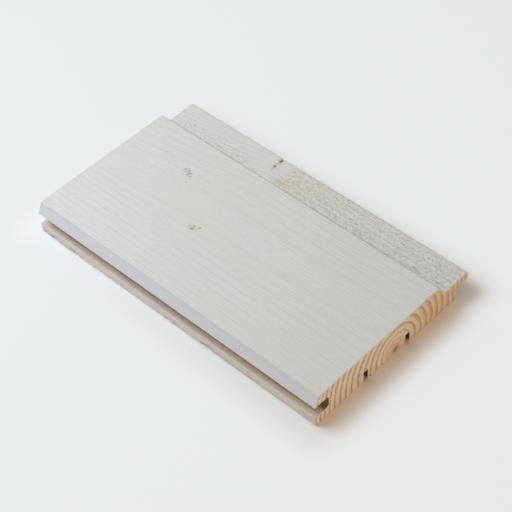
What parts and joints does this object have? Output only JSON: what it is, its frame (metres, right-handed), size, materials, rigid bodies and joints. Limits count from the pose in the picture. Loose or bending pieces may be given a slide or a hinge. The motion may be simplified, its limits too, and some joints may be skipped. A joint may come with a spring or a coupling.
{
  "type": "exterior cladding board",
  "caption": "Tongue-and-groove softwood cladding board with a bevelled lip, a shadow-gap shelf and relief grooves in its back.",
  "frame": {"origin": "centre of the back face's plane, below the middle of the whole length and of the whole width from the nose to the tongue's tip", "axes": "+X along the grain, +Y from the groove edge to the tongue edge, +Z from the back up to the weather face"},
  "size_m": [0.2, 0.12, 0.021],
  "materials": {
    "painted_softwood": "sawn and planed softwood, thin white glaze on the weather side, bare ends, back and groove"
  },
  "bodies": {
    "root": {"cladding_board": "painted_softwood"}
  },
  "joints": []
}
